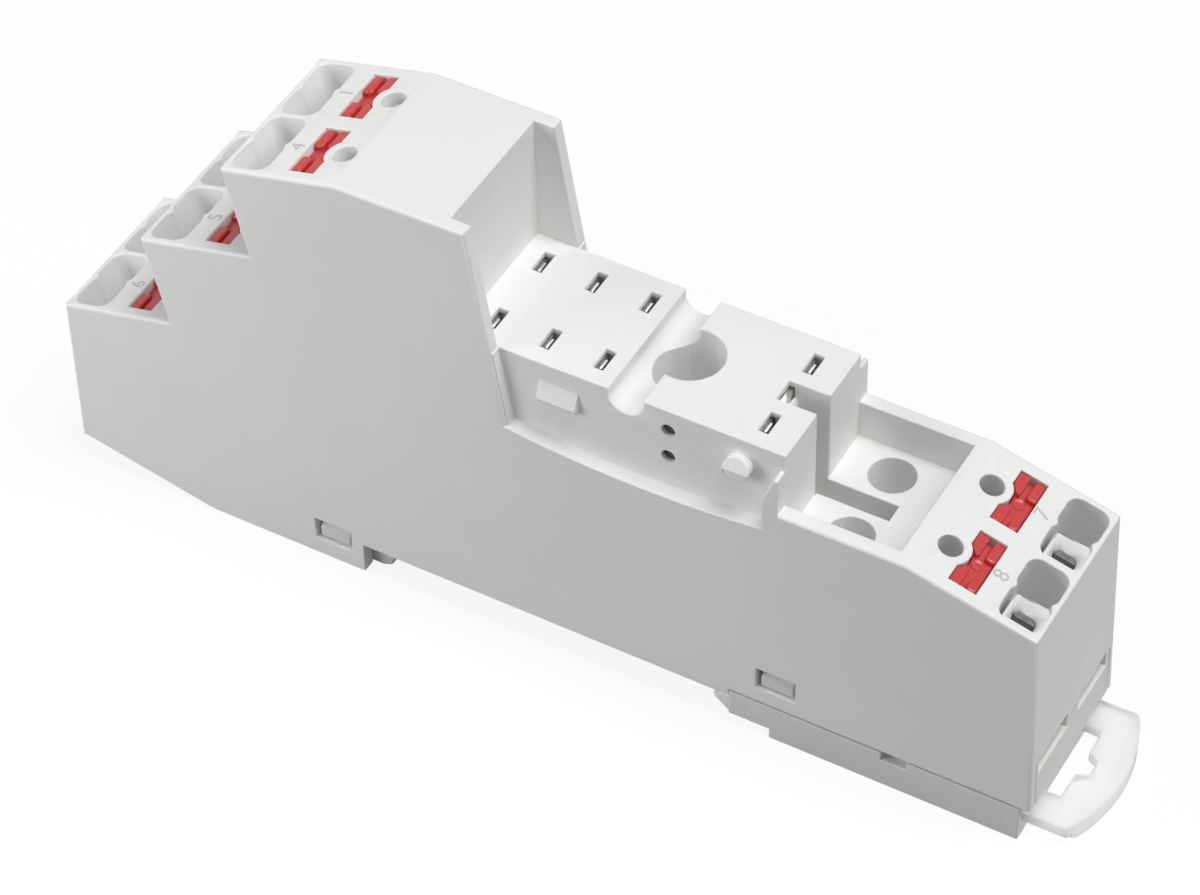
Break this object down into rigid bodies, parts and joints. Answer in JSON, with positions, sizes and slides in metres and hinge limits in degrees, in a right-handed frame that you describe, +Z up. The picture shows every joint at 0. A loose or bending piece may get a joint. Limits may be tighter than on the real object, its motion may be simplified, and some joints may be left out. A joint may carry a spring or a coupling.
{
  "type": "relay socket",
  "caption": "Narrow push-in socket for a plug-in relay: stepped terminal tiers with red release levers, pin deck, module tray and a sliding rail latch.",
  "frame": {"origin": "middle of the underside, on the plane of the two feet", "axes": "+X along the length from the contact terminals to the coil terminals, +Y across towards pole 1, +Z up out of the rail"},
  "size_m": [0.0972, 0.0158, 0.0448],
  "materials": {
    "housing_plastic": "matt moulded",
    "base_plastic": "matt moulded",
    "latch_plastic": "milky translucent",
    "lever_plastic": "satin moulded",
    "spring_steel": "bright strip",
    "tinned_copper": "tinned"
  },
  "bodies": {
    "socket": {"housing": "housing_plastic", "base": "base_plastic", "latch_spring": "spring_steel", "clamp_spring_com_1": "spring_steel", "clamp_spring_com_2": "spring_steel", "clamp_spring_no_1": "spring_steel", "clamp_spring_no_2": "spring_steel", "clamp_spring_nc_1": "spring_steel", "clamp_spring_nc_2": "spring_steel", "clamp_spring_coil_1": "spring_steel", "clamp_spring_coil_2": "spring_steel", "busbar_com_1": "tinned_copper", "busbar_com_2": "tinned_copper", "busbar_no_1": "tinned_copper", "busbar_no_2": "tinned_copper", "busbar_nc_1": "tinned_copper", "busbar_nc_2": "tinned_copper", "busbar_coil_1": "tinned_copper", "busbar_coil_2": "tinned_copper"},
    "latch": {"rail_latch": "latch_plastic"},
    "lever_com_1": {"release_lever_com_1": "lever_plastic"},
    "lever_com_2": {"release_lever_com_2": "lever_plastic"},
    "lever_no_1": {"release_lever_no_1": "lever_plastic"},
    "lever_no_2": {"release_lever_no_2": "lever_plastic"},
    "lever_nc_1": {"release_lever_nc_1": "lever_plastic"},
    "lever_nc_2": {"release_lever_nc_2": "lever_plastic"},
    "lever_coil_1": {"release_lever_coil_1": "lever_plastic"},
    "lever_coil_2": {"release_lever_coil_2": "lever_plastic"}
  },
  "joints": [
    {"name": "lever_com_1_press", "type": "slide", "parent": "socket", "child": "lever_com_1", "axis": [0.2521, 0, -0.9677], "range_m": [0, 0.0012], "stiffness_N_per_m": 9000, "springref_m": -0.0006, "deforming": ["clamp_spring_com_1"]},
    {"name": "lever_com_2_press", "type": "slide", "parent": "socket", "child": "lever_com_2", "axis": [0.2521, 0, -0.9677], "range_m": [0, 0.0012], "stiffness_N_per_m": 9000, "springref_m": -0.0006, "deforming": ["clamp_spring_com_2"]},
    {"name": "lever_no_1_press", "type": "slide", "parent": "socket", "child": "lever_no_1", "axis": [0.2521, 0, -0.9677], "range_m": [0, 0.0012], "stiffness_N_per_m": 9000, "springref_m": -0.0006, "deforming": ["clamp_spring_no_1"]},
    {"name": "lever_no_2_press", "type": "slide", "parent": "socket", "child": "lever_no_2", "axis": [0.2521, 0, -0.9677], "range_m": [0, 0.0012], "stiffness_N_per_m": 9000, "springref_m": -0.0006, "deforming": ["clamp_spring_no_2"]},
    {"name": "lever_nc_1_press", "type": "slide", "parent": "socket", "child": "lever_nc_1", "axis": [0.2521, 0, -0.9677], "range_m": [0, 0.0012], "stiffness_N_per_m": 9000, "springref_m": -0.0006, "deforming": ["clamp_spring_nc_1"]},
    {"name": "lever_nc_2_press", "type": "slide", "parent": "socket", "child": "lever_nc_2", "axis": [0.2521, 0, -0.9677], "range_m": [0, 0.0012], "stiffness_N_per_m": 9000, "springref_m": -0.0006, "deforming": ["clamp_spring_nc_2"]},
    {"name": "lever_coil_1_press", "type": "slide", "parent": "socket", "child": "lever_coil_1", "axis": [-0.2521, 0, -0.9677], "range_m": [0, 0.0012], "stiffness_N_per_m": 9000, "springref_m": -0.0006, "deforming": ["clamp_spring_coil_1"]},
    {"name": "lever_coil_2_press", "type": "slide", "parent": "socket", "child": "lever_coil_2", "axis": [-0.2521, 0, -0.9677], "range_m": [0, 0.0012], "stiffness_N_per_m": 9000, "springref_m": -0.0006, "deforming": ["clamp_spring_coil_2"]},
    {"name": "latch_slide", "type": "slide", "parent": "socket", "child": "latch", "axis": [1, 0, 0], "range_m": [0, 0.003], "stiffness_N_per_m": 1500, "springref_m": -0.0015, "deforming": ["latch_spring"]}
  ]
}
